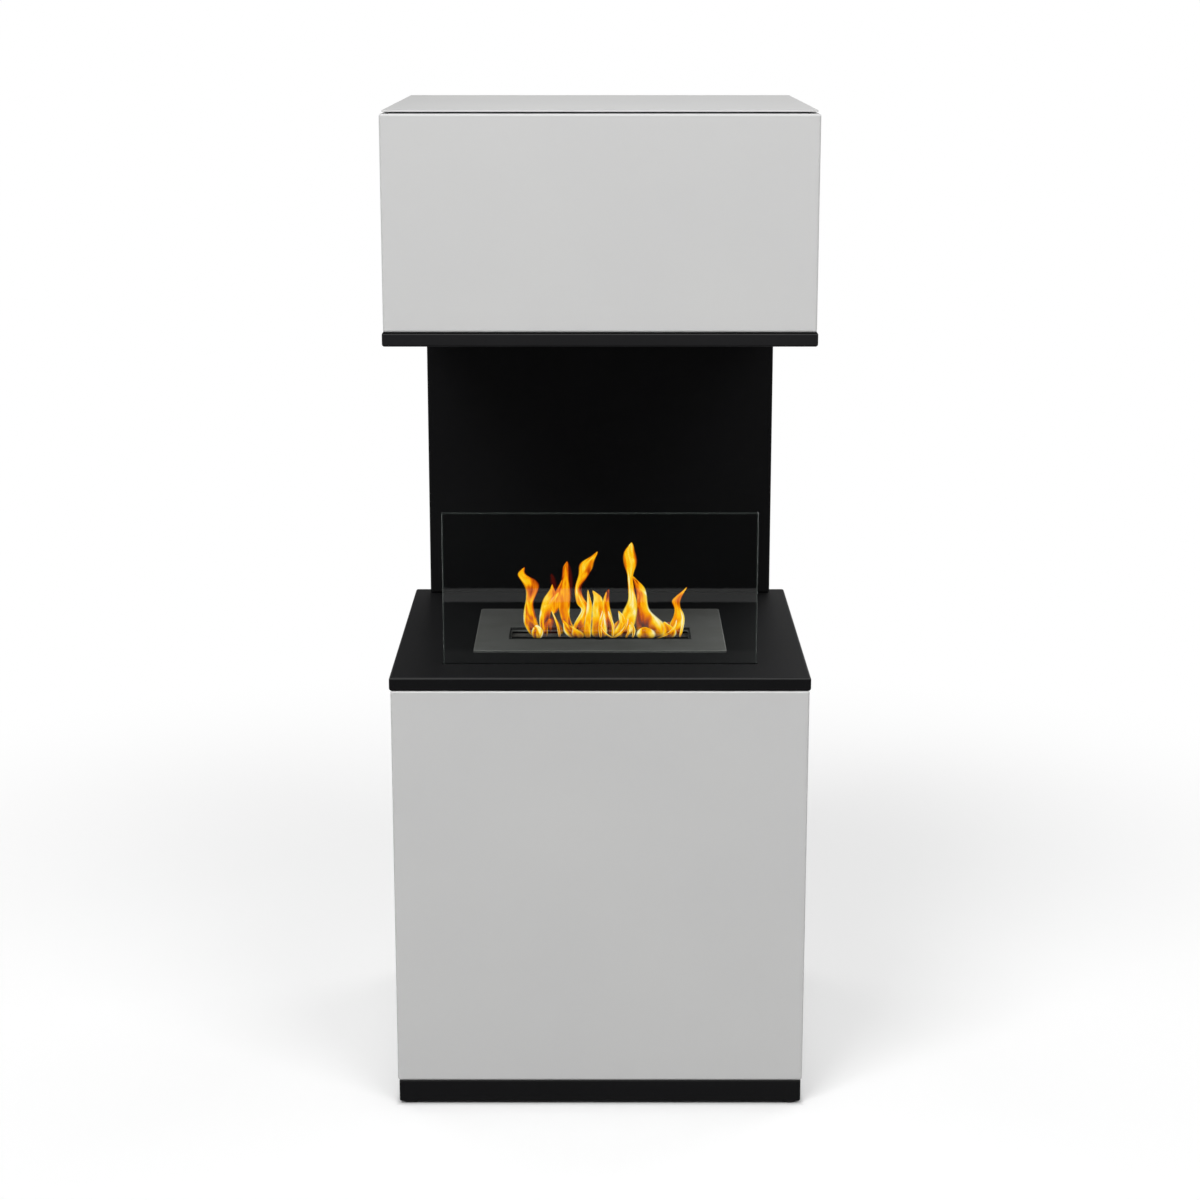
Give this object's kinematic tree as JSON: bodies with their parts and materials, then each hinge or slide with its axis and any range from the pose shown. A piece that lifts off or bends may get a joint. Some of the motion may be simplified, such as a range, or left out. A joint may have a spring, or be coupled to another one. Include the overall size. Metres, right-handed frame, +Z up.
{
  "type": "bioethanol fireplace",
  "caption": "Tall free-standing ethanol fireplace: pale steel cabinet and hood, black column and hearth plate, lift-out burner with sliding lid, and a glass screen.",
  "frame": {"origin": "on the floor, under the middle of the body", "axes": "+X to the right seen from the front, +Y to the back, +Z up"},
  "size_m": [0.503, 0.463, 1.2115],
  "materials": {
    "pale_paint": "satin powder coat, pale grey",
    "black_paint": "matt powder coat, black",
    "zinc_steel": "zinc-coated sheet",
    "burner_steel": "brushed stainless",
    "screw_steel": "blackened",
    "clear_glass": "clear toughened, ground edges",
    "fibre_felt": "felted ceramic fibre",
    "seal_silicone": "matt silicone",
    "foot_rubber": "matt rubber"
  },
  "bodies": {
    "fireplace": {"cabinet_cover_screws": "screw_steel", "cabinet_floor": "zinc_steel", "cabinet_front": "pale_paint", "cabinet_front_brackets": "zinc_steel", "cabinet_left": "pale_paint", "cabinet_post_front_left": "zinc_steel", "cabinet_post_front_right": "zinc_steel", "cabinet_post_rear_left": "zinc_steel", "cabinet_post_rear_right": "zinc_steel", "cabinet_rear_cover": "pale_paint", "cabinet_right": "pale_paint", "ceiling_sheet": "black_paint", "column_cover": "black_paint", "column_cover_screws": "screw_steel", "column_skin": "black_paint", "floor_screws": "screw_steel", "glass_channel": "zinc_steel", "glass_gasket": "seal_silicone", "glide_feet": "foot_rubber", "hearth_plate": "black_paint", "hearth_screws": "screw_steel", "heat_board": "fibre_felt", "hood_arm_left": "zinc_steel", "hood_arm_right": "zinc_steel", "hood_cover_screws": "screw_steel", "hood_front": "pale_paint", "hood_front_brackets": "zinc_steel", "hood_left": "pale_paint", "hood_plate": "black_paint", "hood_post_front_left": "zinc_steel", "hood_post_front_right": "zinc_steel", "hood_post_rear_left": "zinc_steel", "hood_post_rear_right": "zinc_steel", "hood_rear_cover": "pale_paint", "hood_right": "pale_paint", "hood_screws": "screw_steel", "plinth": "black_paint", "spill_tray": "zinc_steel", "top_panel": "pale_paint", "top_spacer": "seal_silicone", "upright_left": "zinc_steel", "upright_right": "zinc_steel"},
    "burner": {"burner_top": "burner_steel", "burner_box": "burner_steel", "fuel_pad": "fibre_felt", "slider_rails": "burner_steel"},
    "slider": {"burner_slider": "burner_steel"},
    "glass": {"glass_pane": "clear_glass"}
  },
  "joints": [
    {"name": "burner_lift", "type": "slide", "parent": "fireplace", "child": "burner", "axis": [0, 0, 1], "range_m": [0, 0.12]},
    {"name": "slider_close", "type": "slide", "parent": "burner", "child": "slider", "axis": [0, -1, 0], "range_m": [0, 0.0572]},
    {"name": "glass_lift", "type": "slide", "parent": "fireplace", "child": "glass", "axis": [0, 0, 1], "range_m": [0, 0.16]}
  ]
}
